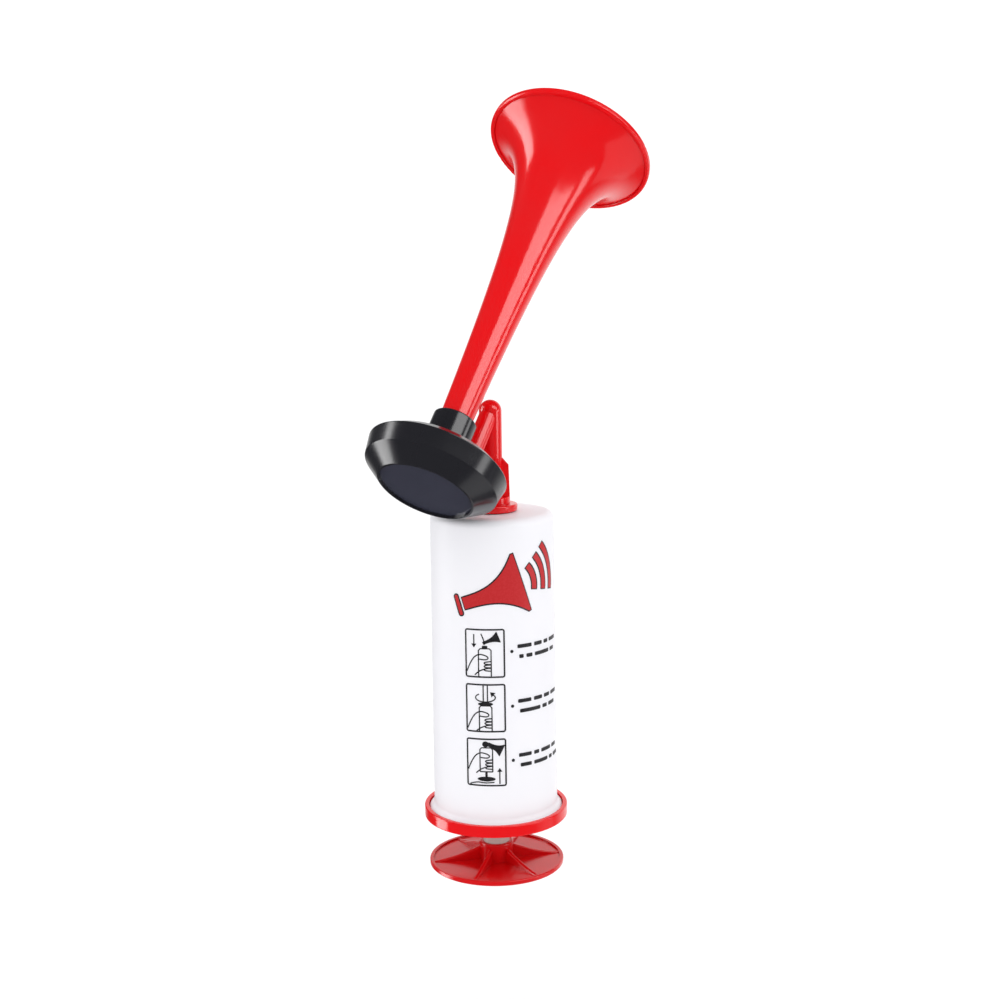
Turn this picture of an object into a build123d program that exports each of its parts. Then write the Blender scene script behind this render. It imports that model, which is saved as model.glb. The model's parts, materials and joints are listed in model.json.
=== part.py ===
"""Hand-pump air horn: a push pump, a bent air pipe, a diaphragm drum and a trumpet.

The pump's axis is Z and the origin is the centre of the handle's underside, on which the horn
stands. The trumpet leans towards +X, and the whole object is symmetrical about the XZ plane, but
for the handle's ribs. All sizes are in millimetres.
"""

from build123d import *

import math
import os

# --- Handle: the round palm plate under the pump ------------------------------------------------
handle_radius = 23.2
handle_plate = 1.0
handle_rim_height = 1.6
handle_rim_width = 1.3
handle_rim_round = 0.4
hub_wall = 1.3
hub_height = 7.4
hub_floor = 1.2
hub_round = 0.5
rib_count = 6
rib_thickness = 1.4
rib_round = 0.45
rib_turn = 12.0
rib_drop = 1.2
rib_power = 1.6
rib_points = 7

# --- Screws: pan heads, one at each end of the rod ----------------------------------------------
screw_radius = 1.45
screw_head_radius = 3.2
screw_head_height = 2.2
screw_length = 12.0
screw_head_round = 0.8
cross_width = 0.8
cross_length = 3.6
cross_depth = 1.1
head_recess_clearance = 0.4
head_recess_depth = 2.6

# --- Rod and piston -----------------------------------------------------------------------------
rod_radius = 4.5
screw_fit = 0.05
piston_clearance = 0.6
piston_plate = 3.0
piston_hub_wall = 2.4
piston_hub_height = 3.8
piston_socket_depth = 5.0
cup_clearance = 0.08
cup_wall = 1.1
cup_base = 1.6
cup_height = 5.0
cup_heel_clearance = 0.5
washer_radius = 11.0
washer_thickness = 1.2
stroke = 70.0
stroke_top_gap = 0.5
stroke_bottom_gap = 5.8

# --- Barrel -------------------------------------------------------------------------------------
barrel_radius = 20.8
barrel_draft = 0.4
barrel_wall = 2.0
barrel_top = 2.5
barrel_round = 2.6
foot_lip = 1.6
foot_thickness = 1.4
foot_flare = 1.8
foot_blend = 1.5

# --- End cap: the ring that closes the barrel's foot --------------------------------------------
handle_gap = 10.0
cap_floor = 1.8
cap_ring_height = 3.9
cap_ring_wall = 1.5
cap_ring_round = 0.4
cap_ring_gap = 0.3
cap_fit = 0.1
cap_spigot_wall = 1.4
cap_spigot_height = 5.0
snap_height = 1.4
snap_depth = 0.5
snap_fit = 0.12
rod_clearance = 0.12
guide_wall = 2.6
guide_height = 4.4
vent_radius = 1.5
vent_count = 4

# --- Neck: the screwed joint between the pump and the air pipe ----------------------------------
thread_pitch = 2.5
thread_turns = 3
neck_core_radius = 4.6
thread_depth = 1.0
thread_base = 1.3
thread_crest = 0.6
thread_clearance = 0.25
thread_overlap = 0.25
neck_length = 8.6
boss_wall = 2.6
boss_length = 11.5
gasket_thickness = 0.9
gasket_proud = 0.2
gasket_room = 0.15
gasket_width = 1.9
gasket_gap = 0.3

# --- Air pipe -----------------------------------------------------------------------------------
pipe_flange_lip = 0.9
pipe_flange_height = 2.4
pipe_flange_round = 0.5
pipe_collar_lip = 0.4
pipe_collar_height = 2.4
pipe_radius = 3.8
pipe_bore_radius = 2.1
fin_count = 6
fin_depth = 2.1
fin_draft = 0.3
fin_thickness = 1.3
fin_height = 10.6
fin_shoulder = 2.8
leg_radius = 3.1
leg_bore_radius = 1.7
leg_length = 28.0
leg_socket_depth = 3.0
leg_socket_wall = 1.5
leg_socket_fit = 0.05
web_thickness = 2.0
web_depth = 9.0

# --- Drum: clamp ring, diaphragm and housing, along the trumpet's axis --------------------------
horn_tilt = 40.0
drum_clearance = 0.9
ring_front_radius = 22.3
ring_flare = 1.1
ring_depth = 6.3
ring_wall = 1.3
cone_thickness = 0.75
face_radius = 16.2
face_depth = 4.9
face_lip = 0.9
face_rim = 0.65
ring_round = 0.35
diaphragm_thickness = 0.25
diaphragm_clearance = 0.15
seat_ring_width = 1.7
drum_gasket_thickness = 0.6
housing_wall = 1.6
housing_fit = 0.15
ring_thread_pitch = 2.0
ring_thread_turns = 1.5
ring_thread_depth = 0.6
ring_thread_base = 1.0
ring_thread_crest = 0.5
ring_thread_clearance = 0.15
plate_gap = 0.2
plate_thickness = 2.1
plate_edge_inset = 0.9
plate_edge_taper = 2.6
collar_wall = 1.95
collar_length = 13.9
collar_round = 0.5
leg_inset = 0.6

# --- Trumpet ------------------------------------------------------------------------------------
throat_radius = 5.35
trumpet_wall = 1.25
flare_length = 115.2
flare_radius = 27.9
flare_sharpness = 0.08
flare_points = 14
lip_width = 1.6
lip_thickness = 1.8
lip_rise = 0.5
lip_round = 0.7
seat_gap = 0.1

# --- Radii that follow from the sizes above -----------------------------------------------------
pilot_radius = screw_radius + screw_fit
hub_radius = rod_radius + hub_wall
piston_hub_radius = rod_radius + piston_hub_wall
guide_radius = rod_radius + rod_clearance
barrel_bore = barrel_radius - barrel_wall
foot_radius = barrel_radius + barrel_draft + foot_lip
thread_root = neck_core_radius + thread_depth + thread_clearance
gasket_inside = neck_core_radius + thread_depth + gasket_gap
gasket_outside = gasket_inside + gasket_width
pipe_flange_radius = gasket_outside + pipe_flange_lip
fin_radius = pipe_radius + fin_depth
pipe_collar_radius = fin_radius + pipe_collar_lip
ring_back_radius = ring_front_radius + ring_flare
collar_radius = throat_radius + collar_wall
lip_radius = flare_radius + lip_width

# --- Levels along the pump's axis ---------------------------------------------------------------
cap_z = hub_height + handle_gap
cap_floor_z = cap_z + cap_floor
piston_stack = screw_head_height + washer_thickness + cup_base + piston_plate + piston_hub_height
barrel_length = guide_height + stroke_bottom_gap + stroke + piston_stack + stroke_top_gap + boss_length
barrel_z = cap_floor_z + barrel_length
boss_z = barrel_z - boss_length
screw_top_z = boss_z - stroke_top_gap
washer_z = screw_top_z - screw_head_height - washer_thickness
cup_z = washer_z - cup_base
plate_z = cup_z - piston_plate
piston_hub_z = plate_z - piston_hub_height
rod_top_z = piston_hub_z + piston_socket_depth
rod_bottom_z = head_recess_depth + hub_floor
flange_z = barrel_z + gasket_proud
pipe_collar_z = flange_z + pipe_flange_height
fin_z = pipe_collar_z + pipe_collar_height
fin_top_z = fin_z + fin_height

# --- Levels along the trumpet's axis, from the plane where the clamp ring's cone meets its side -
face_front = -face_depth
diaphragm_front = face_front + face_lip
gasket_front = diaphragm_front + diaphragm_thickness
housing_front = gasket_front + drum_gasket_thickness
throat_front = gasket_front + seat_gap
plate_front = ring_depth + plate_gap
plate_back = plate_front + plate_thickness
collar_back = plate_back + collar_length
flare_back = collar_back + flare_length

cone_slope = (ring_front_radius - face_radius) / face_depth
cone_wall = cone_thickness * math.hypot(1, cone_slope)
housing_radius = ring_front_radius - ring_wall - housing_fit - ring_thread_depth
housing_bore = housing_radius - housing_wall


def ring_cone_inside(depth):
    """Inner radius of the clamp ring's cone at a depth along the trumpet's axis."""
    return face_radius + cone_slope * (depth - face_front) - cone_wall


diaphragm_radius = ring_cone_inside(diaphragm_front) - diaphragm_clearance
face_bore = face_radius - face_rim
seat_bore = diaphragm_radius - seat_ring_width

# --- Where the drum sits: clear of the barrel's top, and fed by the leg of the pipe -------------
tilt = math.radians(horn_tilt)
leg_offset = housing_bore - leg_radius - leg_inset
drum_reach = (leg_length + plate_back) * math.sin(tilt) + leg_offset * math.cos(tilt)
drum_rise = drum_clearance + max(
    ring_front_radius * math.sin(tilt),
    face_depth * math.cos(tilt) + face_radius * math.sin(tilt),
)
drum_z = barrel_z + drum_rise
elbow_z = drum_z + (leg_length + plate_back) * math.cos(tilt) - leg_offset * math.sin(tilt)
horn_plane = Plane(
    origin=(-drum_reach, 0, drum_z),
    x_dir=(math.cos(tilt), 0, -math.sin(tilt)),
    z_dir=(math.sin(tilt), 0, math.cos(tilt)),
)


def turned(outline, rounds=None):
    """Solid of revolution about Z, from its (radius, height) corners.

    rounds maps a corner's place in the outline to the radius that rounds it.
    """
    face = make_face(Polyline(*outline, close=True))
    for corner, radius in (rounds or {}).items():
        face = fillet(face.vertices().sort_by_distance((*outline[corner], 0))[0], radius)
    return revolve(Plane.XZ * face, Axis.Z)


def rod(radius, bottom, top):
    """Cylinder about Z from one height to another."""
    return Pos(0, 0, (bottom + top) / 2) * Cylinder(radius, top - bottom)


def spun(shape, count, first=0.0):
    """Copies of a shape, evenly spaced about Z."""
    return [Rot(0, 0, first + 360 * k / count) * shape for k in range(count)]


def thread_ridge(radius, depth, base, crest, pitch, turns, bottom):
    """Helical ridge that stands out from a shaft, or into a bore if its depth is negative."""
    helix = Helix(pitch=pitch, height=pitch * turns, radius=radius)
    root = -math.copysign(thread_overlap, depth)
    profile = [(root, -base / 2), (depth, -crest / 2), (depth, crest / 2), (root, base / 2)]
    start = Plane(origin=helix @ 0, x_dir=(1, 0, 0), z_dir=(0, -1, 0))
    ridge = sweep(start * make_face(Polyline(*profile, close=True)), helix, is_frenet=True)
    return Pos(0, 0, bottom) * ridge


def mating_ridge(root_radius, depth, base, crest, pitch, clearance, bottom, top):
    """Ridge inside a bore that runs half a pitch from a shaft's ridge, which starts at bottom."""
    start = bottom + pitch / 2
    turns = (top - start) / pitch - 0.5
    room = pitch - 2 * clearance
    return thread_ridge(root_radius, -depth, room - crest, room - base, pitch, turns, start)


def screw(head_z, points_up):
    """Pan-head screw with a cross recess, its head's outer face at head_z."""
    head = turned(
        [
            (0, 0),
            (screw_head_radius, 0),
            (screw_head_radius, -screw_head_height),
            (screw_radius, -screw_head_height),
            (screw_radius, -screw_head_height - screw_length + screw_radius),
            (0, -screw_head_height - screw_length),
        ],
        {1: screw_head_round},
    )
    for long_way in ((cross_length, cross_width), (cross_width, cross_length)):
        head -= Pos(0, 0, -cross_depth / 2) * Box(*long_way, cross_depth)
    return Pos(0, 0, head_z) * (Rot(180, 0, 0) * head if points_up else head)


def handle_disc():
    """Palm plate with a raised rim, a central hub and curved ribs."""
    plate = turned(
        [
            (0, 0),
            (handle_radius, 0),
            (handle_radius, handle_rim_height),
            (handle_radius - handle_rim_width, handle_rim_height),
            (handle_radius - handle_rim_width, handle_plate),
            (hub_radius, handle_plate),
            (hub_radius, hub_height),
            (0, hub_height),
        ],
        {1: handle_rim_round, 2: handle_rim_round, 6: hub_round},
    )
    inner, outer = hub_radius - rib_drop, handle_radius - handle_rim_width / 2
    rib_top = hub_height - rib_drop
    rib_foot = handle_rim_height * 0.8
    slope = []
    for k in range(rib_points):
        share = k / (rib_points - 1)
        height = rib_foot + (rib_top - rib_foot) * (1 - share) ** rib_power
        slope.append((inner + (outer - inner) * share, height))
    top_line = Spline(*slope)
    rest = Polyline(top_line @ 1, (outer, handle_plate / 2), (inner, handle_plate / 2), top_line @ 0)
    rib = extrude(Plane.XZ * make_face([top_line, rest]), rib_thickness / 2, both=True)
    rib = fillet(rib.edges().filter_by(GeomType.BSPLINE), rib_round)
    for one in spun(rib, rib_count, rib_turn):
        plate += one
    recess = screw_head_radius + head_recess_clearance
    plate -= rod(rod_radius, rod_bottom_z, hub_height)
    plate -= rod(recess, 0, head_recess_depth)
    return plate - rod(pilot_radius, 0, hub_height)


def piston_rod():
    """Plain rod with a pilot hole for the screw at each end."""
    pilot_depth = screw_length - hub_floor + screw_radius
    body = rod(rod_radius, rod_bottom_z, rod_top_z)
    body -= rod(pilot_radius, rod_bottom_z, rod_bottom_z + pilot_depth)
    return body - rod(pilot_radius, rod_top_z - pilot_depth, rod_top_z)


def piston_plate_body():
    """Round plate with a socket for the rod, which backs the cup."""
    radius = barrel_bore - piston_clearance
    body = turned(
        [
            (0, piston_hub_z),
            (piston_hub_radius, piston_hub_z),
            (piston_hub_radius, plate_z),
            (radius, plate_z),
            (radius, cup_z),
            (0, cup_z),
        ],
        {3: handle_rim_round},
    )
    body -= rod(rod_radius, piston_hub_z, rod_top_z)
    return body - rod(pilot_radius, rod_top_z, cup_z)


def piston_cup():
    """Rubber cup that seals upwards, its lip against the bore."""
    lip = barrel_bore - cup_clearance
    heel = lip - cup_heel_clearance
    inside = lip - cup_wall
    return turned(
        [
            (pilot_radius, cup_z),
            (heel, cup_z),
            (lip, cup_z + cup_height),
            (inside, cup_z + cup_height),
            (heel - cup_wall, washer_z),
            (pilot_radius, washer_z),
        ]
    )


def piston_washer():
    """Flat washer that clamps the cup's floor."""
    return rod(washer_radius, washer_z, washer_z + washer_thickness) - rod(
        pilot_radius, washer_z, washer_z + washer_thickness
    )


def snap_corners(radius, bottom, height, depth):
    """The corners of a snap bead, or its groove, on a wall of the given radius."""
    return [(radius, bottom), (radius + depth, bottom + height / 2), (radius, bottom + height)]


def pump_barrel():
    """Drafted barrel with a foot, a snap groove inside it and a screwed boss in its top."""
    foot_outer = barrel_radius + barrel_draft
    foot_top = cap_floor_z + foot_thickness
    groove_z = cap_floor_z + cap_spigot_height - 2 * snap_height
    boss_radius = thread_root + boss_wall
    inner_top = barrel_z - barrel_top
    groove = snap_corners(barrel_bore, groove_z - snap_fit, snap_height + 2 * snap_fit, snap_depth)
    body = turned(
        [
            (barrel_bore, cap_floor_z),
            (foot_radius, cap_floor_z),
            (foot_radius, foot_top),
            (foot_outer, foot_top + foot_flare),
            (barrel_radius, barrel_z),
            (thread_root, barrel_z),
            (thread_root, boss_z),
            (boss_radius, boss_z),
            (boss_radius, inner_top),
            (barrel_bore, inner_top),
            *reversed(groove),
        ],
        {2: cap_ring_round, 3: foot_blend, 4: barrel_round, 8: cap_ring_round, 9: cap_ring_round},
    )
    return body + mating_ridge(
        thread_root,
        thread_depth,
        thread_base,
        thread_crest,
        thread_pitch,
        thread_clearance,
        flange_z - neck_length,
        barrel_z,
    )


def end_cap():
    """Ring that takes the barrel's foot, with a snap spigot, a rod guide and four vents."""
    outer = foot_radius + cap_ring_gap + cap_ring_wall
    ring_top = cap_z + cap_ring_height
    spigot = barrel_bore - cap_fit
    spigot_top = cap_floor_z + cap_spigot_height
    guide_top = cap_floor_z + guide_height
    bead = snap_corners(spigot, spigot_top - 2 * snap_height, snap_height, snap_depth - snap_fit)
    body = turned(
        [
            (guide_radius, cap_z),
            (outer, cap_z),
            (outer, ring_top),
            (outer - cap_ring_wall, ring_top),
            (outer - cap_ring_wall, cap_floor_z),
            (spigot, cap_floor_z),
            *bead,
            (spigot, spigot_top),
            (spigot - cap_spigot_wall, spigot_top),
            (spigot - cap_spigot_wall, cap_floor_z),
            (guide_radius + guide_wall, cap_floor_z),
            (guide_radius + guide_wall, guide_top),
            (guide_radius, guide_top),
        ],
        {1: cap_ring_round, 2: cap_ring_round},
    )
    vent_place = (guide_radius + guide_wall + spigot - cap_spigot_wall) / 2
    for vent in spun(Pos(vent_place, 0, 0) * rod(vent_radius, cap_z, cap_floor_z), vent_count):
        body -= vent
    return body


def neck_gasket():
    """Rubber washer in the recess under the pipe's flange."""
    gasket_top = barrel_z + gasket_thickness
    return rod(gasket_outside, barrel_z, gasket_top) - rod(gasket_inside, barrel_z, gasket_top)


def air_pipe():
    """Screwed spigot, flange, finned column, domed elbow and the leg that feeds the drum."""
    spigot_z = flange_z - neck_length
    body = turned(
        [
            (0, spigot_z),
            (neck_core_radius, spigot_z),
            (neck_core_radius, flange_z),
            (pipe_flange_radius, flange_z),
            (pipe_flange_radius, pipe_collar_z),
            (pipe_collar_radius, pipe_collar_z),
            (pipe_collar_radius, fin_z),
            (pipe_radius, fin_z),
            (pipe_radius, elbow_z),
            (0, elbow_z),
        ],
        {3: pipe_flange_round, 4: pipe_flange_round, 6: pipe_flange_round},
    )
    body += thread_ridge(
        neck_core_radius,
        thread_depth,
        thread_base,
        thread_crest,
        thread_pitch,
        thread_turns,
        spigot_z,
    ) - rod(neck_core_radius * 2, spigot_z - thread_pitch, spigot_z)
    fin_outline = Polyline(
        (0, fin_z),
        (fin_radius + fin_draft, fin_z),
        (fin_radius, fin_top_z),
        (pipe_radius - fin_draft, fin_top_z + fin_shoulder),
        (0, fin_top_z + fin_shoulder),
        close=True,
    )
    fin = extrude(Plane.XZ * make_face(fin_outline), fin_thickness / 2, both=True)
    for one in spun(fin, fin_count):
        body += one
    body += Pos(0, 0, elbow_z) * Sphere(pipe_radius)
    leg_line = horn_plane.location * Pos(leg_offset, 0, 0)
    leg_top = plate_back + leg_length
    body += leg_line * rod(leg_radius, plate_back, leg_top)
    web_corner = (0, elbow_z)
    web_end = horn_plane.from_local_coords((leg_offset, 0, leg_top - web_depth))
    web_outline = Polyline(web_corner, (web_end.X, web_end.Z), (0, elbow_z - web_depth), close=True)
    body += extrude(Plane.XZ * make_face(web_outline), web_thickness / 2, both=True)
    recess_top = barrel_z + gasket_thickness
    recess = rod(gasket_outside + gasket_room, flange_z, recess_top)
    body -= recess - rod(neck_core_radius, flange_z, recess_top)
    body -= rod(pipe_bore_radius, spigot_z, elbow_z)
    body -= Pos(0, 0, elbow_z) * Sphere(pipe_bore_radius)
    return body - leg_line * rod(leg_bore_radius, plate_back, leg_top)


def drum_housing():
    """Black body: seat for the diaphragm, male thread, back plate, trumpet collar and leg socket."""
    edge = ring_back_radius - plate_edge_inset
    bore = throat_radius
    body = turned(
        [
            (seat_bore, housing_front),
            (diaphragm_radius, housing_front),
            (housing_radius, 0),
            (housing_radius, plate_front),
            (edge, plate_front),
            (edge - plate_edge_taper, plate_back),
            (collar_radius, plate_back),
            (collar_radius, collar_back),
            (bore, collar_back),
            (bore, plate_front),
            (housing_bore, plate_front),
            (housing_bore, 0),
        ],
        {7: collar_round},
    )
    body += thread_ridge(
        housing_radius,
        ring_thread_depth,
        ring_thread_base,
        ring_thread_crest,
        ring_thread_pitch,
        ring_thread_turns,
        ring_thread_pitch / 2,
    )
    socket = Pos(leg_offset, 0, 0)
    socket_top = plate_back + leg_socket_depth
    body += socket * rod(leg_radius + leg_socket_wall, plate_front, socket_top)
    body -= socket * rod(leg_radius + leg_socket_fit, plate_back, socket_top)
    return body - socket * rod(leg_bore_radius, plate_front, plate_back)


def diaphragm():
    """Thin film clamped round its edge and resting on the trumpet's throat."""
    return rod(diaphragm_radius, diaphragm_front, gasket_front)


def diaphragm_gasket():
    """Rubber ring between the film and the housing's seat."""
    return rod(diaphragm_radius, gasket_front, housing_front) - rod(seat_bore, gasket_front, housing_front)


def clamp_ring():
    """Screwed ring with a conical front and an open middle that shows the film."""
    thread_bore = housing_radius + housing_fit + ring_thread_depth
    body = turned(
        [
            (face_bore, face_front),
            (face_radius, face_front),
            (ring_front_radius, 0),
            (ring_back_radius, ring_depth),
            (thread_bore, ring_depth),
            (thread_bore, 0),
            (ring_cone_inside(housing_front), housing_front),
            (ring_cone_inside(diaphragm_front), diaphragm_front),
            (face_bore, diaphragm_front),
        ],
        {1: ring_round, 2: ring_round, 3: ring_round},
    )
    return body + mating_ridge(
        thread_bore,
        ring_thread_depth,
        ring_thread_base,
        ring_thread_crest,
        ring_thread_pitch,
        ring_thread_clearance,
        ring_thread_pitch / 2,
        ring_depth,
    )


def flare_radius_at(share):
    """Outer radius of the flare, at a share of its length from the collar to the lip."""
    power = math.log(flare_radius / throat_radius) / math.log(1 + 1 / flare_sharpness)
    return flare_radius * (flare_sharpness / (1 - share + flare_sharpness)) ** power


def flare_curve(wall):
    """Points of the flare's outline, moved in by a wall at right angles to it."""
    points = []
    step = 1 / (flare_points - 1)
    nudge = step / 100
    for k in range(flare_points):
        share = 1 - (1 - k * step) ** 2
        ahead, behind = share + nudge / 2, share - nudge / 2
        slope = (flare_radius_at(ahead) - flare_radius_at(behind)) / (nudge * flare_length)
        run = wall / math.hypot(1, slope)
        points.append((flare_radius_at(share) - run, collar_back + share * flare_length + run * slope))
    return points


def trumpet():
    """Straight throat, flared bell and a rounded lip, with an even wall."""
    outside = Spline(*flare_curve(0.0))
    inside = Spline(*flare_curve(trumpet_wall))
    lip_back = flare_back - lip_rise
    lip_front = lip_back + lip_thickness + lip_rise
    inner_mouth = inside @ 1
    outline = [
        Line((throat_radius, throat_front), outside @ 0),
        outside,
        Polyline(
            outside @ 1,
            (flare_radius, lip_back),
            (lip_radius, lip_back),
            (lip_radius, lip_front),
            (inner_mouth.X + (lip_front - inner_mouth.Y), lip_front),
            inner_mouth,
        ),
        inside,
        Polyline(
            inside @ 0,
            (throat_radius - trumpet_wall, throat_front),
            (throat_radius, throat_front),
        ),
    ]
    face = make_face(outline)
    for corner in ((flare_radius, lip_back), (lip_radius, lip_back), (lip_radius, lip_front)):
        round_by = min(lip_round, 0.45 * lip_rise) if corner[0] == flare_radius else lip_round
        face = fillet(face.vertices().sort_by_distance((*corner, 0))[0], round_by)
    return revolve(Plane.XZ * face, Axis.Z)


def on_horn(shape):
    """Moves a shape from its own axis on to the trumpet's axis."""
    return horn_plane.location * shape


parts = {
    "handle_disc": handle_disc(),
    "handle_screw": screw(head_recess_depth - screw_head_height, True),
    "piston_rod": piston_rod(),
    "piston_plate": piston_plate_body(),
    "piston_cup": piston_cup(),
    "piston_washer": piston_washer(),
    "piston_screw": screw(screw_top_z, False),
    "pump_barrel": pump_barrel(),
    "end_cap": end_cap(),
    "neck_gasket": neck_gasket(),
    "air_pipe": air_pipe(),
    "drum_housing": on_horn(drum_housing()),
    "diaphragm": on_horn(diaphragm()),
    "diaphragm_gasket": on_horn(diaphragm_gasket()),
    "clamp_ring": on_horn(clamp_ring()),
    "trumpet": on_horn(trumpet()),
}

os.makedirs("parts", exist_ok=True)
for name, shape in parts.items():
    export_step(shape, f"parts/{name}.step")

print(f"drum reach {drum_reach:.2f}, drum z {drum_z:.2f}, elbow z {elbow_z:.2f}, barrel z {barrel_z:.2f}")
print(f"diaphragm radius {diaphragm_radius:.2f}, seat bore {seat_bore:.2f}, housing bore {housing_bore:.2f}")
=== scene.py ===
import json
import logging
import math
from collections.abc import Iterable, Sequence
from dataclasses import dataclass, field
from enum import Enum

import bmesh
import bpy
from mathutils import Matrix, Vector

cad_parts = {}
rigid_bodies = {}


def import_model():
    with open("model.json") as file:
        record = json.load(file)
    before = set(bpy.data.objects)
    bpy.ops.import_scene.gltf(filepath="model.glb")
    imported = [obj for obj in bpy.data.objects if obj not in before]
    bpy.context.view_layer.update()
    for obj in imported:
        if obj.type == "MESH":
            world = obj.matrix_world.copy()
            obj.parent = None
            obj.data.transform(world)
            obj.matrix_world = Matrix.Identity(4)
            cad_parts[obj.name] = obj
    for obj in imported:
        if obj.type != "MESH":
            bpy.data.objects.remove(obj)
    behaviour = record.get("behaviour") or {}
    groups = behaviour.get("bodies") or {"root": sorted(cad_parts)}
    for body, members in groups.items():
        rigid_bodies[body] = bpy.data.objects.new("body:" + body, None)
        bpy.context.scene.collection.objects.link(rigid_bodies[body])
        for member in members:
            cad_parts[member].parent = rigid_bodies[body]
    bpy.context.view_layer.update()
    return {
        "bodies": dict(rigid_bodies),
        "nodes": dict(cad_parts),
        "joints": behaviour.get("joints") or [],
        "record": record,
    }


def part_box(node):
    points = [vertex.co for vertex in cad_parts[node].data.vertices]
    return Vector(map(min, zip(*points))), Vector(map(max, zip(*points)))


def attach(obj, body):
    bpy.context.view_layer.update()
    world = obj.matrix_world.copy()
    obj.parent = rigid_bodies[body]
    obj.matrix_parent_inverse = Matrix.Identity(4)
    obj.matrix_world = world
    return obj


log = logging.getLogger("air_horn")

MM = 0.001


class Body(Enum):
    """The rigid body that the printing rides on."""

    PUMP = "pump_body"


def linear(code: str) -> tuple[float, float, float, float]:
    """Turns an sRGB hex colour into the linear colour that a shader works in.

    Args:
        code: Six hex digits, red first.

    Returns:
        Linear red, green and blue, and an alpha of 1.
    """
    parts = [int(code[i : i + 2], 16) / 255 for i in (0, 2, 4)]
    flat = [p / 12.92 if p <= 0.04045 else ((p + 0.055) / 1.055) ** 2.4 for p in parts]
    return (flat[0], flat[1], flat[2], 1.0)


def add_node(
    tree: bpy.types.NodeTree,
    kind: str,
    settings: dict[str, object] | None = None,
    links: dict[str | int, bpy.types.NodeSocket] | None = None,
) -> bpy.types.Node:
    """Adds a node, sets its properties and input values, and links its inputs.

    Args:
        tree: The node tree that gets the node.
        kind: The node's type name.
        settings: Values by property name or by input name.
        links: Output sockets by the name or number of the input they feed.

    Returns:
        The new node.
    """
    node = tree.nodes.new(kind)
    for name, value in (settings or {}).items():
        if hasattr(node, name):
            setattr(node, name, value)
        else:
            node.inputs[name].default_value = value
    for name, socket in (links or {}).items():
        tree.links.new(socket, node.inputs[name])
    return node


def new_material(name: str) -> tuple[bpy.types.Material, bpy.types.NodeTree, bpy.types.Node]:
    """Starts a material from an empty tree.

    Args:
        name: The material's name.

    Returns:
        The material, its node tree and its output node.
    """
    material = bpy.data.materials.new(name)
    material.use_nodes = True
    tree = material.node_tree
    tree.nodes.clear()
    return material, tree, add_node(tree, "ShaderNodeOutputMaterial")


@dataclass(frozen=True)
class MouldedPlastic:
    """An injection-moulded plastic: even colour, faint flow marks and the mould's own polish.

    The gloss comes from a low, slightly uneven roughness, and a shallow ripple some millimetres
    across bends the reflections as a moulded wall does where it has shrunk.
    """

    name: str
    colour: str
    shade: str
    roughness: float
    ior: float
    ripple_mm: float = 7.0
    ripple_depth_mm: float = 0.012
    grain_mm: float = 0.5
    grain_depth_mm: float = 0.0012
    specular: float = 0.5
    polish_share: float = 0.85
    dull_share: float = 1.2
    glow: float = 0.0
    glow_mm: float = 1.5
    glow_colour: tuple[float, float, float] = (1.0, 1.0, 1.0)

    def make(self) -> bpy.types.Material:
        """Builds the material.

        Returns:
            The finished material.
        """
        material, tree, output = new_material(self.name)
        place = add_node(tree, "ShaderNodeTexCoord").outputs["Object"]
        flow = add_node(
            tree,
            "ShaderNodeTexNoise",
            {"Scale": 1 / (self.ripple_mm * 2.5 * MM), "Detail": 3.0, "Roughness": 0.55},
            {"Vector": place},
        )
        tint = add_node(
            tree,
            "ShaderNodeMix",
            {"data_type": "RGBA"},
            {0: flow.outputs["Fac"]},
        )
        tint.inputs[6].default_value = linear(self.colour)
        tint.inputs[7].default_value = linear(self.shade)
        ripple = add_node(
            tree,
            "ShaderNodeTexNoise",
            {"Scale": 1 / (self.ripple_mm * MM), "Detail": 1.0},
            {"Vector": place},
        )
        grain = add_node(
            tree,
            "ShaderNodeTexNoise",
            {"Scale": 1 / (self.grain_mm * MM), "Detail": 2.0},
            {"Vector": place},
        )
        gloss = add_node(
            tree,
            "ShaderNodeMapRange",
            {
                "From Min": 0.3,
                "From Max": 0.7,
                "To Min": self.roughness * self.polish_share,
                "To Max": self.roughness * self.dull_share,
            },
            {"Value": flow.outputs["Fac"]},
        )
        wave = add_node(
            tree,
            "ShaderNodeBump",
            {"Strength": 1.0, "Distance": self.ripple_depth_mm * MM},
            {"Height": ripple.outputs["Fac"]},
        )
        skin = add_node(
            tree,
            "ShaderNodeBump",
            {"Strength": 1.0, "Distance": self.grain_depth_mm * MM},
            {"Height": grain.outputs["Fac"], "Normal": wave.outputs["Normal"]},
        )
        shader = add_node(
            tree,
            "ShaderNodeBsdfPrincipled",
            {
                "IOR": self.ior,
                "Specular IOR Level": self.specular,
                "Subsurface Weight": self.glow,
                "Subsurface Radius": self.glow_colour,
                "Subsurface Scale": self.glow_mm * MM,
            },
            {
                "Base Color": tint.outputs[2],
                "Roughness": gloss.outputs["Result"],
                "Normal": skin.outputs["Normal"],
            },
        )
        tree.links.new(shader.outputs["BSDF"], output.inputs["Surface"])
        return material


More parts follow.
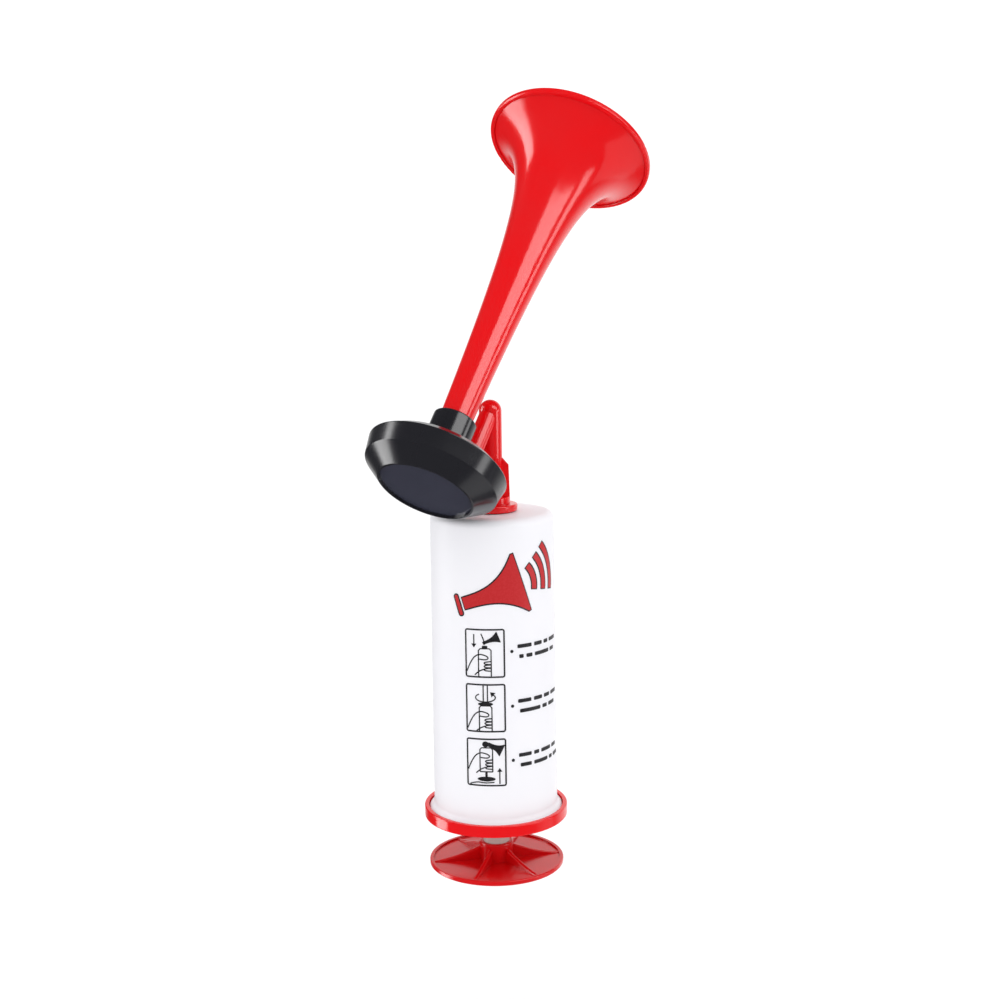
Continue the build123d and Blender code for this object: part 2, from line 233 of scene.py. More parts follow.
@dataclass(frozen=True)
class ScreenInk:
    """Screen-printed ink: a thin, nearly even coat that thins a little in tiny spots."""

    name: str
    colour: str
    worn: str
    roughness: float = 0.42
    ior: float = 1.48
    spot_mm: float = 0.7
    spot_depth_mm: float = 0.004
    worn_from: float = 0.42
    worn_to: float = 0.78

    def make(self) -> bpy.types.Material:
        """Builds the material.

        Returns:
            The finished material.
        """
        material, tree, output = new_material(self.name)
        place = add_node(tree, "ShaderNodeTexCoord").outputs["Object"]
        spots = add_node(
            tree,
            "ShaderNodeTexNoise",
            {"Scale": 1 / (self.spot_mm * MM), "Detail": 4.0, "Roughness": 0.7},
            {"Vector": place},
        )
        ramp = add_node(tree, "ShaderNodeValToRGB", None, {"Fac": spots.outputs["Fac"]})
        ramp.color_ramp.elements[0].position = self.worn_from
        ramp.color_ramp.elements[0].color = linear(self.colour)
        ramp.color_ramp.elements[1].position = self.worn_to
        ramp.color_ramp.elements[1].color = linear(self.worn)
        bump = add_node(
            tree,
            "ShaderNodeBump",
            {"Strength": 0.5, "Distance": self.spot_depth_mm * MM},
            {"Height": spots.outputs["Fac"]},
        )
        shader = add_node(
            tree,
            "ShaderNodeBsdfPrincipled",
            {"IOR": self.ior, "Roughness": self.roughness},
            {"Base Color": ramp.outputs["Color"], "Normal": bump.outputs["Normal"]},
        )
        tree.links.new(shader.outputs["BSDF"], output.inputs["Surface"])
        return material


@dataclass(frozen=True)
class MouldedRubber:
    """Moulded nitrile rubber: dull and dark, with a fine dusty grain."""

    name: str = "moulded_nitrile_rubber"
    colour: str = "1B1B1C"
    bloom: str = "2C2C2D"
    roughness: float = 0.72
    ior: float = 1.52
    grain_mm: float = 0.4
    grain_depth_mm: float = 0.02

    def make(self) -> bpy.types.Material:
        """Builds the material.

        Returns:
            The finished material.
        """
        material, tree, output = new_material(self.name)
        place = add_node(tree, "ShaderNodeTexCoord").outputs["Object"]
        grain = add_node(
            tree,
            "ShaderNodeTexNoise",
            {"Scale": 1 / (self.grain_mm * MM), "Detail": 5.0},
            {"Vector": place},
        )
        ramp = add_node(tree, "ShaderNodeValToRGB", None, {"Fac": grain.outputs["Fac"]})
        ramp.color_ramp.elements[0].color = linear(self.colour)
        ramp.color_ramp.elements[1].color = linear(self.bloom)
        bump = add_node(
            tree,
            "ShaderNodeBump",
            {"Strength": 0.6, "Distance": self.grain_depth_mm * MM},
            {"Height": grain.outputs["Fac"]},
        )
        shader = add_node(
            tree,
            "ShaderNodeBsdfPrincipled",
            {"IOR": self.ior, "Roughness": self.roughness},
            {"Base Color": ramp.outputs["Color"], "Normal": bump.outputs["Normal"]},
        )
        tree.links.new(shader.outputs["BSDF"], output.inputs["Surface"])
        return material


@dataclass(frozen=True)
class PolyesterFilm:
    """Calendered polyester film, dyed navy: mirror smooth, with a slow waviness from its clamping."""

    name: str = "calendered_polyester_film"
    colour: str = "3A3B48"
    deep: str = "31323F"
    roughness: float = 0.07
    ior: float = 1.64
    wave_mm: float = 9.0
    wave_depth_mm: float = 0.05

    def make(self) -> bpy.types.Material:
        """Builds the material.

        Returns:
            The finished material.
        """
        material, tree, output = new_material(self.name)
        place = add_node(tree, "ShaderNodeTexCoord").outputs["Object"]
        wave = add_node(
            tree,
            "ShaderNodeTexNoise",
            {"Scale": 1 / (self.wave_mm * MM), "Detail": 1.5},
            {"Vector": place},
        )
        ramp = add_node(tree, "ShaderNodeValToRGB", None, {"Fac": wave.outputs["Fac"]})
        ramp.color_ramp.elements[0].color = linear(self.deep)
        ramp.color_ramp.elements[1].color = linear(self.colour)
        bump = add_node(
            tree,
            "ShaderNodeBump",
            {"Strength": 1.0, "Distance": self.wave_depth_mm * MM},
            {"Height": wave.outputs["Fac"]},
        )
        shader = add_node(
            tree,
            "ShaderNodeBsdfPrincipled",
            {"IOR": self.ior, "Roughness": self.roughness},
            {"Base Color": ramp.outputs["Color"], "Normal": bump.outputs["Normal"]},
        )
        tree.links.new(shader.outputs["BSDF"], output.inputs["Surface"])
        return material


@dataclass(frozen=True)
class ZincPlatedSteel:
    """Cold-headed steel with bright zinc plating: grey metal, faintly blotched by the bath."""

    name: str = "zinc_plated_steel"
    colour: str = "C9CCD0"
    dull: str = "A9ADB3"
    bright_roughness: float = 0.22
    dull_roughness: float = 0.38
    blotch_mm: float = 1.6

    def make(self) -> bpy.types.Material:
        """Builds the material.

        Returns:
            The finished material.
        """
        material, tree, output = new_material(self.name)
        place = add_node(tree, "ShaderNodeTexCoord").outputs["Object"]
        blotch = add_node(
            tree,
            "ShaderNodeTexNoise",
            {"Scale": 1 / (self.blotch_mm * MM), "Detail": 3.0},
            {"Vector": place},
        )
        ramp = add_node(tree, "ShaderNodeValToRGB", None, {"Fac": blotch.outputs["Fac"]})
        ramp.color_ramp.elements[0].color = linear(self.colour)
        ramp.color_ramp.elements[1].color = linear(self.dull)
        gloss = add_node(
            tree,
            "ShaderNodeMapRange",
            {"To Min": self.bright_roughness, "To Max": self.dull_roughness},
            {"Value": blotch.outputs["Fac"]},
        )
        shader = add_node(
            tree,
            "ShaderNodeBsdfPrincipled",
            {"Metallic": 1.0},
            {"Base Color": ramp.outputs["Color"], "Roughness": gloss.outputs["Result"]},
        )
        tree.links.new(shader.outputs["BSDF"], output.inputs["Surface"])
        return material


# Injection-moulded ABS from a polished mould: the trumpet, the air pipe and the end cap.
RED_ABS = MouldedPlastic(
    name="moulded_abs_red",
    colour="EC0B13",
    shade="E20810",
    roughness=0.16,
    ior=1.54,
    glow=0.12,
    glow_colour=(1.0, 0.08, 0.04),
)
# The red ABS with painted shade: its red is darkened for the shade that falls under the barrel, from a
# slightly duller mould: the palm disc.
SHADED_RED_ABS = MouldedPlastic(
    name="moulded_abs_red_painted_shade",
    colour="D8080F",
    shade="CE060D",
    roughness=0.2,
    ior=1.54,
    glow=0.12,
    glow_colour=(1.0, 0.08, 0.04),
)
# Injection-moulded black ABS: the drum's housing and its clamp ring.
BLACK_ABS = MouldedPlastic(
    name="moulded_abs_black",
    colour="1F1F24",
    shade="222227",
    roughness=0.18,
    ior=1.54,
    ripple_depth_mm=0.008,
)
# Injection-moulded polypropylene, waxy and a little translucent: the barrel.
WHITE_POLYPROPYLENE = MouldedPlastic(
    name="moulded_polypropylene_white",
    colour="F6F5FA",
    shade="F0F0F6",
    roughness=0.38,
    ior=1.49,
    specular=0.22,
    ripple_mm=14.0,
    ripple_depth_mm=0.006,
    glow=0.3,
    glow_mm=2.5,
)
# Injection-moulded acetal, undyed but for a little grey: the rod and the piston's plate.
GREY_ACETAL = MouldedPlastic(
    name="moulded_acetal_grey",
    colour="CBC6BF",
    shade="BDB8B1",
    roughness=0.34,
    ior=1.48,
)
# Solvent ink, screen printed in two passes: red areas, then black lines.
RED_INK = ScreenInk(name="screen_ink_red", colour="C4040F", worn="CC1C25")
BLACK_INK = ScreenInk(name="screen_ink_black", colour="17161A", worn="3A393D")


def dress(node: bpy.types.Object, material: bpy.types.Material) -> None:
    """Gives a carried-over node its finish, without touching its mesh."""
    for slot in node.material_slots:
        slot.link = "OBJECT"
        slot.material = material


@dataclass(frozen=True)
class Softbox:
    """An area light that faces the trumpet and shows only as a reflection in gloss.

    towards is the direction from the trumpet to the light, and along the direction that its
    width runs in. spread is the angles that its width and height fill, in degrees, and radiance
    is in watts per square metre and steradian.
    """

    name: str
    towards: tuple[float, float, float]
    along: tuple[float, float, float]
    spread: tuple[float, float]
    radiance: float


SOFTBOXES = (
    Softbox("key", (0.0, -0.84, 0.55), (0.66, -0.51, -0.55), (50, 24), 4.4),
    Softbox("strip", (0.4, -0.91, -0.04), (0.59, 0.17, 0.29), (36, 12), 3.8),
    Softbox("left", (-0.42, 0.9, -0.05), (0.9, 0.42, 0.0), (24, 70), 6.0),
    Softbox("low_right", (0.25, -0.6, -0.77), (1.0, 0.0, 0.3), (60, 50), 0.6),
)


@dataclass
class Studio:
    """A pale floor, an even white room, soft boxes and the camera. Lengths are in metres.

    The room lights every side alike. Gloss sees a darker room, in which the boxes are bright.
    The floor lies as low as the palm disc comes when it is drawn, so it never hides the disc.
    """

    heading: float = 57.186
    dip: float = 8.816
    roll: float = 0.81
    camera_place: tuple[float, float, float] = (-0.4178, -0.2728, 0.2042)
    lens_mm: float = 54.14
    sensor_mm: float = 36.0
    near_clip: float = 0.01
    room: float = 1.12
    mirror_low: float = 0.05
    mirror_high: float = 1.1
    mirror_towards: tuple[float, float, float] = (0.9, 0.2, -0.1)
    mirror_edge: float = 0.5
    mirror_core: float = 0.95
    box_distance: float = 2.0
    floor_size: float = 30.0
    floor_colour: str = "FDFDFD"
    floor_cloud: str = "FCFCFD"

    def view_axes(self) -> tuple[Vector, Vector, Vector]:
        """Works out the way the camera faces.

        Returns:
            The camera's right, up and forward directions.
        """
        heading, dip, roll = (math.radians(a) for a in (self.heading, self.dip, self.roll))
        flat = Vector((math.sin(heading), math.cos(heading), 0))
        right = Vector((math.cos(heading), -math.sin(heading), 0))
        forward = flat * math.cos(dip) - Vector((0, 0, math.sin(dip)))
        up = flat * math.sin(dip) + Vector((0, 0, math.cos(dip)))
        return (
            right * math.cos(roll) - up * math.sin(roll),
            up * math.cos(roll) + right * math.sin(roll),
            forward,
        )

    def set_camera(self) -> None:
        """Creates the camera and makes it the scene's own."""
        right, up, forward = self.view_axes()
        data = bpy.data.cameras.new("camera")
        data.lens = self.lens_mm
        data.sensor_width = self.sensor_mm
        data.clip_start = self.near_clip
        camera = bpy.data.objects.new("camera", data)
        turn = Matrix((right, up, -forward)).transposed().to_4x4()
        camera.matrix_world = Matrix.Translation(self.camera_place) @ turn
        bpy.context.collection.objects.link(camera)
        bpy.context.scene.camera = camera

    def light_room(self) -> None:
        """Makes the white room, which polished surfaces see as dark but for one side."""
        world = bpy.data.worlds.new("white_room")
        bpy.context.scene.world = world
        world.use_nodes = True
        tree = world.node_tree
        tree.nodes.clear()
        ray = add_node(tree, "ShaderNodeTexCoord").outputs["Generated"]
        facing = add_node(tree, "ShaderNodeVectorMath", {"operation": "DOT_PRODUCT"}, {0: ray})
        facing.inputs[1].default_value = Vector(self.mirror_towards).normalized()
        mirrored = add_node(
            tree,
            "ShaderNodeMapRange",
            {
                "interpolation_type": "SMOOTHSTEP",
                "From Min": self.mirror_edge,
                "From Max": self.mirror_core,
                "To Min": self.mirror_low,
                "To Max": self.mirror_high,
            },
            {"Value": facing.outputs["Value"]},
        )
        path = add_node(tree, "ShaderNodeLightPath")
        strength = add_node(
            tree,
            "ShaderNodeMix",
            {"data_type": "FLOAT"},
            {0: path.outputs["Is Glossy Ray"], 3: mirrored.outputs["Result"]},
        )
        strength.inputs[2].default_value = self.room
        glow = add_node(
            tree,
            "ShaderNodeBackground",
            {"Color": linear("FFFFFF")},
            {"Strength": strength.outputs[0]},
        )
        add_node(tree, "ShaderNodeOutputWorld", None, {"Surface": glow.outputs["Background"]})

    def add_softbox(self, box: Softbox, target: Vector) -> None:
        """Adds a soft box.

        Args:
            box: The soft box.
            target: The point that it faces.
        """
        back = Vector(box.towards).normalized()
        across = Vector(box.along)
        across = (across - back * across.dot(back)).normalized()
        width, height = (2 * self.box_distance * math.tan(math.radians(a / 2)) for a in box.spread)
        data = bpy.data.lights.new(box.name, "AREA")
        data.shape = "RECTANGLE"
        data.size, data.size_y = width, height
        data.energy = box.radiance * math.pi * width * height
        light = bpy.data.objects.new(box.name, data)
        turn = Matrix((across, back.cross(across), back)).transposed().to_4x4()
        light.matrix_world = Matrix.Translation(target + back * self.box_distance) @ turn
        light.visible_camera = False
        light.visible_diffuse = False
        bpy.context.collection.objects.link(light)

    def lay_floor(self, depth: float) -> None:
        """Lays the floor under the object.

        Args:
            depth: How far the floor lies below the foot at rest.
        """
        bm = bmesh.new()
        bmesh.ops.create_grid(bm, x_segments=1, y_segments=1, size=self.floor_size)
        bmesh.ops.translate(bm, verts=bm.verts, vec=(0.0, 0.0, -depth))
        floor = mesh_object("floor", bm)
        material, tree, output = new_material("painted_floor")
        place = add_node(tree, "ShaderNodeTexCoord").outputs["Object"]
        cloud = add_node(tree, "ShaderNodeTexNoise", {"Scale": 3.0, "Detail": 2.0}, {"Vector": place})
        ramp = add_node(tree, "ShaderNodeValToRGB", None, {"Fac": cloud.outputs["Fac"]})
        ramp.color_ramp.elements[0].color = linear(self.floor_cloud)
        ramp.color_ramp.elements[1].color = linear(self.floor_colour)
        shader = add_node(tree, "ShaderNodeBsdfDiffuse", None, {"Color": ramp.outputs["Color"]})
        tree.links.new(shader.outputs["BSDF"], output.inputs["Surface"])
        floor.data.materials.append(material)
        floor.visible_glossy = False

    def build(self, depth: float) -> None:
        """Sets up the whole studio.

        Args:
            depth: How far the floor lies below the foot at rest.
        """
        low, high = (Vector(c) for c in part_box("trumpet"))
        horn = (low + high) / 2
        self.set_camera()
        self.light_room()
        for box in SOFTBOXES:
            self.add_softbox(box, horn)
        self.lay_floor(depth)
        bpy.context.scene.view_settings.view_transform = "Standard"


SHARP_ANGLE = math.radians(35)
WELD_MM = 1e-4


def mesh_object(name: str, bm: bmesh.types.BMesh) -> bpy.types.Object:
    """Turns a bmesh into an object in the scene, and frees it.

    Args:
        name: The object's name.
        bm: The finished bmesh, in metres.

    Returns:
        The object, smooth shaded with its sharp edges kept.
    """
    mesh = bpy.data.meshes.new(name)
    bm.to_mesh(mesh)
    bm.free()
    mesh.shade_smooth()
    mesh.set_sharp_from_angle(angle=SHARP_ANGLE)
    obj = bpy.data.objects.new(name, mesh)
    bpy.context.collection.objects.link(obj)
    return obj


Point = tuple[float, float]


@dataclass
class Stroke:
    """A printed line: its points in millimetres on the unrolled barrel, and its width."""

    points: Sequence[Point]
    width: float = 0.45
    closed: bool = False
    curved: bool = False


@dataclass
class Patch:
    """A printed area: its outline in millimetres on the unrolled barrel, and any holes."""

    outline: Sequence[Point]
    holes: Sequence[Sequence[Point]] = ()


def arc(centre: Point, radius: float, start: float, stop: float, steps: int = 12) -> list[Point]:
    """Points along an arc.

    Args:
        centre: The arc's centre.
        radius: Its radius.
        start: Its first angle, in degrees.
        stop: Its last angle, in degrees.
        steps: How many straight spans it has.

    Returns:
        The points, from start to stop.
    """
    angles = [math.radians(start + (stop - start) * k / steps) for k in range(steps + 1)]
    return [(centre[0] + radius * math.cos(a), centre[1] + radius * math.sin(a)) for a in angles]


def rounded_box(left: float, bottom: float, right: float, top: float, radius: float) -> list[Point]:
    """Outline of a box with rounded corners.

    Args:
        left: Its left side.
        bottom: Its bottom.
        right: Its right side.
        top: Its top.
        radius: The corners' radius.

    Returns:
        The outline's points, anticlockwise.
    """
    corners = [
        ((right - radius, top - radius), 0),
        ((left + radius, top - radius), 90),
        ((left + radius, bottom + radius), 180),
        ((right - radius, bottom + radius), 270),
    ]
    return [p for centre, first in corners for p in arc(centre, radius, first, first + 90, 4)]


@dataclass
class Print:
    """One ink's printing on the barrel, as thin closed shapes wrapped round it."""

    name: str
    ink: ScreenInk
    slot: str
    facing: float
    top_radius: float
    foot_radius: float
    top: float
    foot: float
    half_thickness: float = 0.03
    strip: float = 0.8
    strokes: list[Stroke] = field(default_factory=list)
    patches: list[Patch] = field(default_factory=list)

    def flat_mesh(self, curve: bpy.types.Curve) -> bpy.types.Mesh:
        """Turns a curve into a mesh and removes the curve.

        Args:
            curve: The curve to convert.

        Returns:
            The curve's mesh.
        """
        holder = bpy.data.objects.new("flat", curve)
        mesh = bpy.data.meshes.new_from_object(holder)
        bpy.data.objects.remove(holder)
        bpy.data.curves.remove(curve)
        return mesh

    def stroke_mesh(self, stroke: Stroke) -> bpy.types.Mesh:
        """Builds one line as a flattened tube.

        Args:
            stroke: The line.

        Returns:
            Its mesh, in millimetres.
        """
        curve = bpy.data.curves.new("stroke", "CURVE")
        curve.dimensions = "3D"
        curve.bevel_depth = stroke.width / 2
        curve.bevel_resolution = 1
        curve.use_fill_caps = True
        curve.resolution_u = 4
        spline = curve.splines.new("NURBS" if stroke.curved else "POLY")
        spline.points.add(len(stroke.points) - 1)
        for spot, (x, y) in zip(spline.points, stroke.points):
            spot.co = (x, y, 0, 1)
        spline.use_cyclic_u = stroke.closed
        if stroke.curved:
            spline.order_u = 3
            spline.use_endpoint_u = True
        mesh = self.flat_mesh(curve)
        mesh.transform(Matrix.Diagonal((1, 1, 2 * self.half_thickness / stroke.width, 1)))
        return mesh

    def patch_mesh(self, patch: Patch) -> bpy.types.Mesh:
        """Builds one filled area as a thin slab.

        Args:
            patch: The area.

        Returns:
            Its mesh, in millimetres.
        """
        curve = bpy.data.curves.new("patch", "CURVE")
        curve.dimensions = "2D"
        curve.fill_mode = "BOTH"
        curve.extrude = self.half_thickness
        for outline in (patch.outline, *patch.holes):
            spline = curve.splines.new("POLY")
            spline.points.add(len(outline) - 1)
            for spot, (x, y) in zip(spline.points, outline):
                spot.co = (x, y, 0, 1)
            spline.use_cyclic_u = True
        return self.flat_mesh(curve)

    def wrap(self, bm: bmesh.types.BMesh) -> None:
        """Cuts the flat print into upright strips and lays it on the drafted barrel."""
        bmesh.ops.remove_doubles(bm, verts=bm.verts, dist=WELD_MM)
        low = min(v.co.x for v in bm.verts)
        high = max(v.co.x for v in bm.verts)
        for k in range(1, int((high - low) / self.strip) + 1):
            bmesh.ops.bisect_plane(
                bm,
                geom=[*bm.verts, *bm.edges, *bm.faces],
                plane_co=(low + k * self.strip, 0, 0),
                plane_no=(1, 0, 0),
            )
        mean = (self.top_radius + self.foot_radius) / 2
        for vert in bm.verts:
            share = (self.top - vert.co.y) / (self.top - self.foot)
            radius = self.top_radius + (self.foot_radius - self.top_radius) * share
            angle = math.radians(self.facing) + vert.co.x / mean
            reach = radius + vert.co.z
            vert.co = Vector((reach * math.cos(angle), reach * math.sin(angle), vert.co.y)) * MM
        bmesh.ops.recalc_face_normals(bm, faces=bm.faces)

    def build(self) -> bpy.types.Object:
        """Builds the printing and puts it on the pump's body.

        Returns:
            The printed piece.
        """
        bm = bmesh.new()
        meshes = [self.stroke_mesh(s) for s in self.strokes]
        meshes += [self.patch_mesh(p) for p in self.patches]
        for mesh in meshes:
            bm.from_mesh(mesh)
            bpy.data.meshes.remove(mesh)
        self.wrap(bm)
        piece = mesh_object(self.name, bm)
        piece.data.materials.append(self.ink.make())
        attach(piece, Body.PUMP.value)
        return piece


def horn_outline(length: float, throat: float, mouth: float, flare: float = 3.0) -> list[Point]:
    """Side view of a plain signal horn that points along +X from its small end at the origin.

    Args:
        length: How long it is.
        throat: Half its height at the small end.
        mouth: Half its height at the bell.
        flare: How late the bell opens.

    Returns:
        The outline's points, anticlockwise.
    """
    steps = [k / 14 for k in range(15)]
    upper = [(length * t, throat + (mouth - throat) * t**flare) for t in steps]
    lip = [(length * 1.05, mouth), (length * 1.05, -mouth)]
    lower = [(x, -y) for x, y in upper]
    return [*lower, *reversed(lip), *reversed(upper)]


def placed(points: Iterable[Point], spot: Point, turn: float = 0.0, scale: float = 1.0) -> list[Point]:
    """Scales points, turns them about the origin and moves them.

    Args:
        points: The points.
        spot: Where the origin goes.
        turn: The turn, in degrees, anticlockwise.
        scale: The scale.

    Returns:
        The placed points.
    """
    c, s = scale * math.cos(math.radians(turn)), scale * math.sin(math.radians(turn))
    return [(spot[0] + c * x - s * y, spot[1] + s * x + c * y) for x, y in points]


@dataclass
class Barrel:
    """The white barrel with its generic printing, and the end cap. Sizes in millimetres.

    The printing is laid out on the unrolled barrel: across from the meridian that faces the
    front, and down from the barrel's top.
    """

    facing: float = 213.14
    top_radius: float = 20.8
    foot_radius: float = 21.2
    foot_rise: float = 3.2
    emblem_spot: Point = (-10.2, -27.6)
    emblem_turn: float = 19.0
    emblem_length: float = 20.5
    outline_width: float = 0.6
    wave_radii: tuple[float, ...] = (9.5, 13.9, 18.3)
    wave_half_width: float = 1.15
    wave_half_angle: float = 27.0
    wave_inset: float = 4.0
    red_half_thickness: float = 0.03
    black_half_thickness: float = 0.045
    panel_centre: float = -3.0
    panel_width: float = 12.9
    panel_height: float = 15.9
    panel_drops: tuple[float, ...] = (43.9, 62.4, 80.9)
    frame_width: float = 0.55
    line_width: float = 0.42
    bullet_across: float = 6.0
    bullet_drop: float = -0.4
    row_starts: tuple[float, ...] = (8.0, 8.6)
    row_drops: tuple[float, ...] = (-1.9, 1.5)
    row_height: float = 1.25
    bar_round: float = 0.3
    bullet_radius: float = 0.55
    words: tuple[tuple[float, ...], ...] = (
        (5.4, 3.6, 2.2, 5.0),
        (1.6, 2.4, 7.2, 3.0),
        (5.0, 3.8, 3.2, 4.6),
        (8.4, 2.4, 4.4),
        (4.8, 2.2, 5.2, 3.4),
        (4.2, 6.6, 2.0, 4.0),
    )
    word_gap: float = 1.1

    def new_print(self, name: str, ink: ScreenInk, slot: str, half_thickness: float) -> Print:
        """Starts the printing in one ink.

        Args:
            name: The piece's name.
            ink: The ink.
            slot: The record's slot for the ink; it is not used.
            half_thickness: How proud of the barrel it stands.

        Returns:
            The empty printing.
        """
        low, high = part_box("pump_barrel")
        return Print(
            name=name,
            ink=ink,
            slot=slot,
            facing=self.facing,
            top_radius=self.top_radius,
            foot_radius=self.foot_radius,
            top=high[2] / MM,
            foot=low[2] / MM + self.foot_rise,
            half_thickness=half_thickness,
        )

    def emblem(self) -> list[list[Point]]:
        """Outlines of the emblem: a signal horn, its mouthpiece and three sound waves.

        Returns:
            One closed outline for each shape.
        """
        length = self.emblem_length
        shapes = [horn_outline(length, 2.1, 10.3), rounded_box(-2.6, -3.6, -1.0, 3.6, 0.7)]
        centre = (length - self.wave_inset, 0)
        half = self.wave_half_angle
        for radius in self.wave_radii:
            outer = arc(centre, radius + self.wave_half_width, -half, half, 14)
            inner = arc(centre, radius - self.wave_half_width, half, -half, 14)
            shapes.append([*outer, *inner])
        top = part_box("pump_barrel")[1][2] / MM
        spot = (self.emblem_spot[0], top + self.emblem_spot[1])
        return [placed(shape, spot, self.emblem_turn) for shape in shapes]

    def pump_lines(self, low: float, high: float) -> list[Stroke]:
        """A pump's barrel from the front, as two sides and a rounded top."""
        top = [(-2.1, low), (-2.1, high - 0.6), (-1.5, high), (1.5, high), (2.1, high - 0.6), (2.1, low)]
        return [Stroke(top, self.line_width)]

    def grip_lines(self, level: float) -> list[Stroke]:
        """A hand that holds the pump from the left, with its thumb and fingers across the barrel.

        Args:
            level: The height of the thumb.

        Returns:
            The hand's lines.
        """
        thumb = [(-6.2, level - 5.2), (-4.6, level - 1.2), (-2.2, level + 0.9), (0.4, level + 0.3)]
        thumb += [(1.3, level - 0.5), (0.4, level - 1.3), (-1.9, level - 0.9)]
        wrist = [(-3.4, level - 6.3), (-1.9, level - 4.6), (0.2, level - 4.2)]
        lines = [Stroke(thumb, self.line_width, curved=True), Stroke(wrist, self.line_width, curved=True)]
        for k in range(3):
            rise = level - 1.7 - 1.1 * k
            finger = [(2.1, rise), (0.3, rise - 0.1), (-0.4, rise - 0.55)]
            finger += [(0.3, rise - 1.0), (2.1, rise - 1.0)]
            lines.append(Stroke(finger, self.line_width, curved=True))
        return lines

    def arrow(self, path: list[Point], size: float = 1.3) -> tuple[Stroke, Patch]:
        """A line with an arrowhead at its last point.

        Args:
            path: The line's points.
            size: The arrowhead's length.

        Returns:
            The line and the head.
        """
        (x0, y0), (x1, y1) = path[-2:]
        turn = math.degrees(math.atan2(y1 - y0, x1 - x0))
        head = placed([(0, -0.65 * size), (size, 0), (0, 0.65 * size)], (x1, y1), turn)
        return Stroke(path, self.line_width), Patch(head)

    def oval(self, centre: Point, across: float, up: float) -> Patch:
        """A filled oval."""
        return Patch([(centre[0] + across * x, centre[1] + up * y) for x, y in arc((0, 0), 1, 0, 345, 23)])

    def step_attach(self) -> tuple[list[Stroke], list[Patch]]:
        """First picture: the horn is put on the pump's neck. Its origin is the panel's centre."""
        down, head = self.arrow([(-3.6, 6.4), (-3.6, 3.2)])
        horn = placed(horn_outline(5.4, 0.5, 1.9), (-0.6, 3.4), 22)
        strokes = [*self.pump_lines(-7.9, 1.6), *self.grip_lines(-1.0), down]
        strokes += [Stroke([(-1.2, 6.6), (-0.2, 4.6), (0.0, 3.0)], self.line_width, curved=True)]
        return strokes, [head, Patch(horn), Patch(rounded_box(-0.9, 1.6, 0.9, 2.6, 0.2))]

    def step_turn(self) -> tuple[list[Stroke], list[Patch]]:
        """Second picture: the horn is turned on its thread. Its origin is the panel's centre."""
        ring, head = self.arrow([(3.3 * x, 3.6 + 1.5 * y) for x, y in arc((0, 0), 1, 130, 395, 16)], 1.5)
        strokes = [*self.pump_lines(-7.9, 0.8), *self.grip_lines(-1.8), ring]
        strokes += [Stroke([(-0.7, 2.0), (-0.7, 7.9)], self.line_width)]
        strokes += [Stroke([(0.7, 2.0), (0.7, 7.9)], self.line_width)]
        return strokes, [head, self.oval((0, 1.4), 2.5, 0.65)]

    def step_pump(self) -> tuple[list[Stroke], list[Patch]]:
        """Third picture: the palm disc is pushed in. Its origin is the panel's centre."""
        push, head = self.arrow([(4.4, -7.4), (4.4, -3.2)])
        horn = placed(horn_outline(5.0, 0.7, 2.1), (0.6, 6.3), -26)
        strokes = [*self.pump_lines(-3.2, 5.0), Stroke([(-2.1, -3.2), (2.1, -3.2)], self.line_width)]
        strokes += [*self.grip_lines(2.6), push, Stroke([(0, -3.2), (0, -5.6)], 0.8)]
        palm = [(-5.6, -7.6), (-3.4, -6.6), (-0.4, -7.2), (2.6, -6.8)]
        strokes += [Stroke(palm, self.line_width, curved=True)]
        disc, neck = self.oval((0, -5.7), 3.0, 0.8), self.oval((-0.2, 6.2), 1.1, 1.0)
        return strokes, [head, Patch(horn), disc, neck]

    def add_panel(self, black: Print, level: float, strokes: list[Stroke], patches: list[Patch]) -> None:
        """Prints a framed picture.

        Args:
            black: The printing that gets it.
            level: The height of its centre.
            strokes: The picture's lines, about its centre.
            patches: The picture's areas, about its centre.
        """
        half, rise = self.panel_width / 2, self.panel_height / 2
        frame = rounded_box(-half, -rise, half, rise, 0.6)
        centre = (self.panel_centre, level)
        black.strokes.append(Stroke(placed(frame, centre), self.frame_width, closed=True))
        for one in strokes:
            black.strokes.append(Stroke(placed(one.points, centre), one.width, one.closed, one.curved))
        for one in patches:
            black.patches.append(Patch(placed(one.outline, centre)))

    def add_note(self, black: Print, level: float, rows: Sequence[Sequence[float]]) -> None:
        """Prints a bullet and rows of plain bars where a caption would be.

        Args:
            black: The printing that gets them.
            level: The height of the panel's centre.
            rows: The bars' lengths, row by row.
        """
        bullet = (self.bullet_across, level - self.bullet_drop)
        black.patches.append(self.oval(bullet, self.bullet_radius, self.bullet_radius))
        for start, drop, row in zip(self.row_starts, self.row_drops, rows):
            left, bottom = start, level - drop - self.row_height / 2
            for length in row:
                bar = rounded_box(left, bottom, left + length, bottom + self.row_height, self.bar_round)
                black.patches.append(Patch(bar))
                left += length + self.word_gap

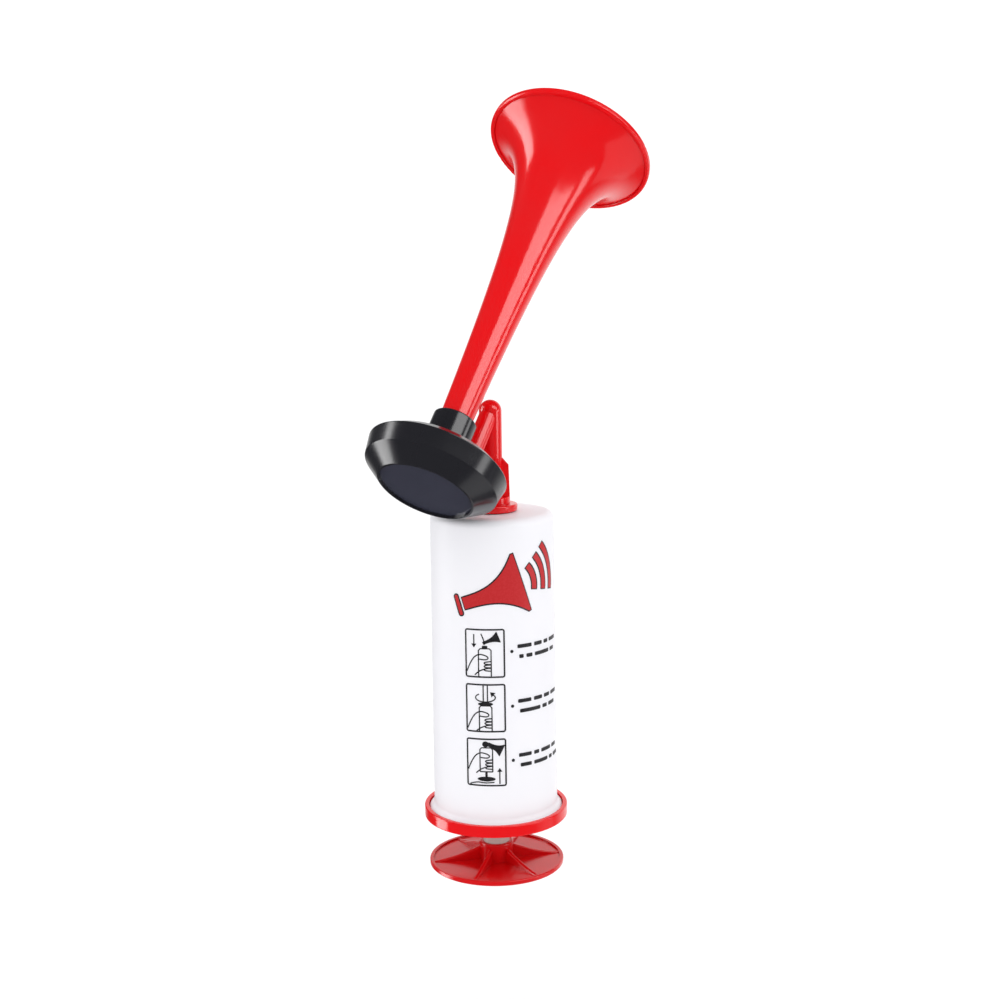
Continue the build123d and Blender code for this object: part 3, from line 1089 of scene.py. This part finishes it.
    def build(self, nodes: dict[str, bpy.types.Object]) -> None:
        """Dresses the barrel and its cap, and prints on the barrel.

        Args:
            nodes: The carried-over nodes by name.
        """
        dress(nodes["pump_barrel"], WHITE_POLYPROPYLENE.make())
        dress(nodes["end_cap"], RED_ABS.make())
        red = self.new_print("emblem_print", RED_INK, "red_plastic", self.red_half_thickness)
        black = self.new_print("picture_print", BLACK_INK, "black_plastic", self.black_half_thickness)
        for outline in self.emblem():
            red.patches.append(Patch(outline))
            black.strokes.append(Stroke(outline, self.outline_width, closed=True))
        steps = (self.step_attach, self.step_turn, self.step_pump)
        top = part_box("pump_barrel")[1][2] / MM
        for k, (drop, step) in enumerate(zip(self.panel_drops, steps)):
            level = top - drop
            self.add_panel(black, level, *step())
            self.add_note(black, level, self.words[2 * k : 2 * k + 2])
        for part in (red, black):
            piece = part.build()
            log.info("%s has %d faces", piece.name, len(piece.data.polygons))


@dataclass
class Plunger:
    """The rod, its piston and the palm disc."""

    def build(self, nodes: dict[str, bpy.types.Object]) -> None:
        """Dresses the plunger's nodes.

        Args:
            nodes: The carried-over nodes by name.
        """
        # The palm disc's darker red is painted shade.
        dress(nodes["handle_disc"], SHADED_RED_ABS.make())
        dress(nodes["piston_rod"], GREY_ACETAL.make())
        dress(nodes["piston_plate"], GREY_ACETAL.make())
        dress(nodes["piston_cup"], MouldedRubber().make())
        steel = ZincPlatedSteel().make()
        for name in ("piston_washer", "piston_screw", "handle_screw"):
            dress(nodes[name], steel)
        log.info("plunger dressed")


@dataclass
class HornHead:
    """The air pipe, the drum and the trumpet."""

    def build(self, nodes: dict[str, bpy.types.Object]) -> None:
        """Dresses the horn's nodes.

        Args:
            nodes: The carried-over nodes by name.
        """
        red = RED_ABS.make()
        black = BLACK_ABS.make()
        rubber = MouldedRubber().make()
        for name in ("air_pipe", "trumpet"):
            dress(nodes[name], red)
        for name in ("drum_housing", "clamp_ring"):
            dress(nodes[name], black)
        for name in ("diaphragm_gasket", "neck_gasket"):
            dress(nodes[name], rubber)
        dress(nodes["diaphragm"], PolyesterFilm().make())
        log.info("horn head dressed")


def main() -> None:
    """Builds the air horn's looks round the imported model, piece by piece."""
    logging.basicConfig(level=logging.INFO, format="%(message)s")
    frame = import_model()
    nodes = frame["nodes"]
    Barrel().build(nodes)
    Plunger().build(nodes)
    HornHead().build(nodes)
    joints = {joint["name"]: joint for joint in frame["record"]["behaviour"]["joints"]}
    Studio().build(joints["pump_stroke"]["range_m"][1])


if __name__ == "__main__":
    main()
